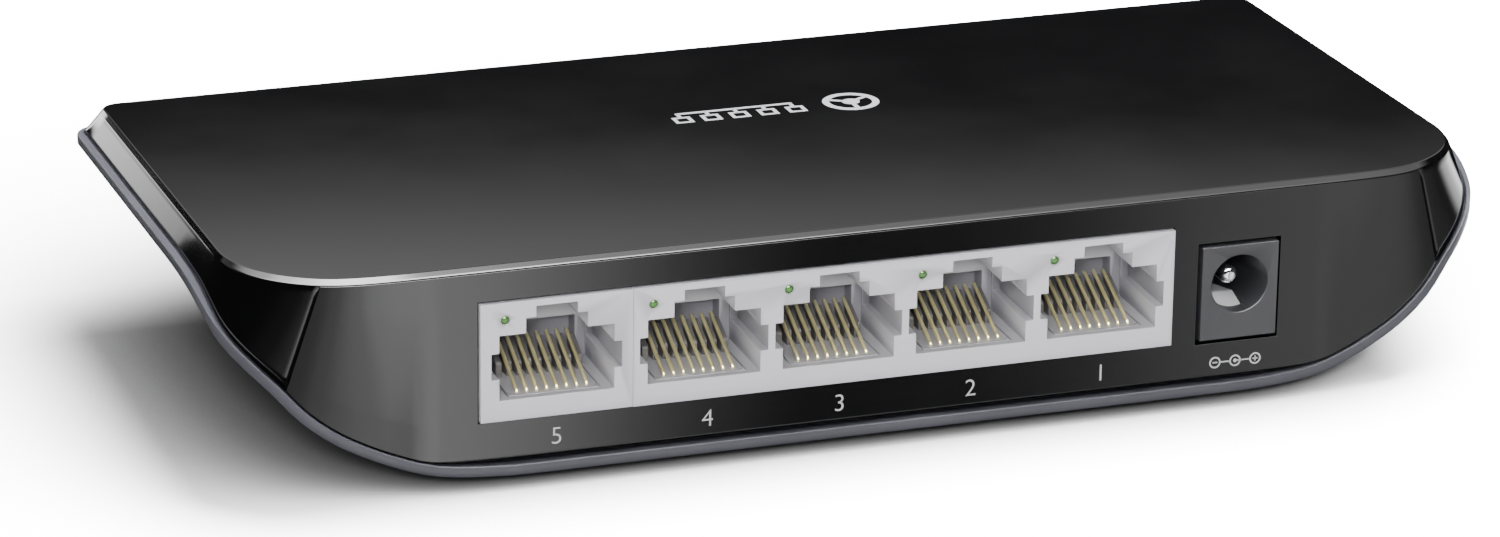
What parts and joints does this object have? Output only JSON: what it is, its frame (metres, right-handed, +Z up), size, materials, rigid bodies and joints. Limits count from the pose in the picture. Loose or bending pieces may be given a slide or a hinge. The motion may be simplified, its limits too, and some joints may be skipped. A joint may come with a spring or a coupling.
{
  "type": "desktop network switch",
  "caption": "Small desktop network switch with a row of modular sockets, a round power inlet and rubber feet.",
  "frame": {"origin": "on the resting plane, under the middle of the casing", "axes": "+X along the width towards the power inlet, +Y away from the sockets, +Z up"},
  "size_m": [0.1352, 0.0656, 0.023],
  "materials": {
    "cover_gloss": "high gloss",
    "panel_satin": "satin",
    "base_satin": "satin",
    "screw_steel": "plated",
    "board_green": "solder mask",
    "socket_grey": "moulded",
    "inlet_black": "moulded",
    "pin_chrome": "bright plated",
    "chip_black": "moulded",
    "sink_aluminium": "anodised",
    "inductor_grey": "ferrite",
    "can_steel": "plain",
    "can_aluminium": "plain",
    "passive_tan": "ceramic",
    "lamp_white": "moulded",
    "guide_clear": "clear",
    "label_grey": "printed film",
    "foot_rubber": "soft",
    "contact_gold": "gold flash",
    "lens_green": "tinted"
  },
  "bodies": {
    "switch_body": {"top_cover": "cover_gloss", "rear_panel": "panel_satin", "base_shell": "base_satin", "case_screws": "screw_steel", "board_screws": "screw_steel", "circuit_board": "board_green", "jack_housing_single": "socket_grey", "jack_housing_quad": "socket_grey", "dc_jack_housing": "inlet_black", "dc_centre_pin": "pin_chrome", "dc_terminals": "pin_chrome", "switch_chip": "chip_black", "heat_sink": "sink_aluminium", "memory_chip": "chip_black", "regulator_chip": "chip_black", "power_inductor": "inductor_grey", "crystal": "can_steel", "chip_passives": "passive_tan", "power_led": "lamp_white", "power_light_guide": "guide_clear", "rating_label": "label_grey", "rubber_foot_1": "foot_rubber", "rubber_foot_2": "foot_rubber", "rubber_foot_3": "foot_rubber", "rubber_foot_4": "foot_rubber", "capacitor_can_1": "can_aluminium", "capacitor_can_2": "can_aluminium", "contact_insert_1": "socket_grey", "contact_leads_1": "contact_gold", "led_lens_1": "lens_green", "magnetics_1": "chip_black", "contact_insert_2": "socket_grey", "contact_leads_2": "contact_gold", "led_lens_2": "lens_green", "magnetics_2": "chip_black", "contact_insert_3": "socket_grey", "contact_leads_3": "contact_gold", "led_lens_3": "lens_green", "magnetics_3": "chip_black", "contact_insert_4": "socket_grey", "contact_leads_4": "contact_gold", "led_lens_4": "lens_green", "magnetics_4": "chip_black", "contact_insert_5": "socket_grey", "contact_leads_5": "contact_gold", "led_lens_5": "lens_green", "magnetics_5": "chip_black"},
    "port_1_contacts": {"contact_springs_1": "contact_gold"},
    "port_2_contacts": {"contact_springs_2": "contact_gold"},
    "port_3_contacts": {"contact_springs_3": "contact_gold"},
    "port_4_contacts": {"contact_springs_4": "contact_gold"},
    "port_5_contacts": {"contact_springs_5": "contact_gold"},
    "inlet_leaf": {"dc_leaf_spring": "pin_chrome"}
  },
  "joints": [
    {"name": "port_1_contacts_flex", "type": "hinge", "parent": "switch_body", "child": "port_1_contacts", "pos_m": [0.02261, -0.0302, 0.0092], "axis": [-1, 0, 0], "range_deg": [0, 12], "stiffness_Nm_per_rad": 0.3},
    {"name": "port_2_contacts_flex", "type": "hinge", "parent": "switch_body", "child": "port_2_contacts", "pos_m": [0.00864, -0.0302, 0.0092], "axis": [-1, 0, 0], "range_deg": [0, 12], "stiffness_Nm_per_rad": 0.3},
    {"name": "port_3_contacts_flex", "type": "hinge", "parent": "switch_body", "child": "port_3_contacts", "pos_m": [-0.00532, -0.0302, 0.0092], "axis": [-1, 0, 0], "range_deg": [0, 12], "stiffness_Nm_per_rad": 0.3},
    {"name": "port_4_contacts_flex", "type": "hinge", "parent": "switch_body", "child": "port_4_contacts", "pos_m": [-0.01929, -0.0302, 0.0092], "axis": [-1, 0, 0], "range_deg": [0, 12], "stiffness_Nm_per_rad": 0.3},
    {"name": "port_5_contacts_flex", "type": "hinge", "parent": "switch_body", "child": "port_5_contacts", "pos_m": [-0.03436, -0.0302, 0.0092], "axis": [-1, 0, 0], "range_deg": [0, 12], "stiffness_Nm_per_rad": 0.3},
    {"name": "inlet_leaf_flex", "type": "hinge", "parent": "switch_body", "child": "inlet_leaf", "pos_m": [0.03756, -0.0208, 0.00905], "axis": [1, 0, 0], "range_deg": [0, 5], "stiffness_Nm_per_rad": 0.25}
  ]
}
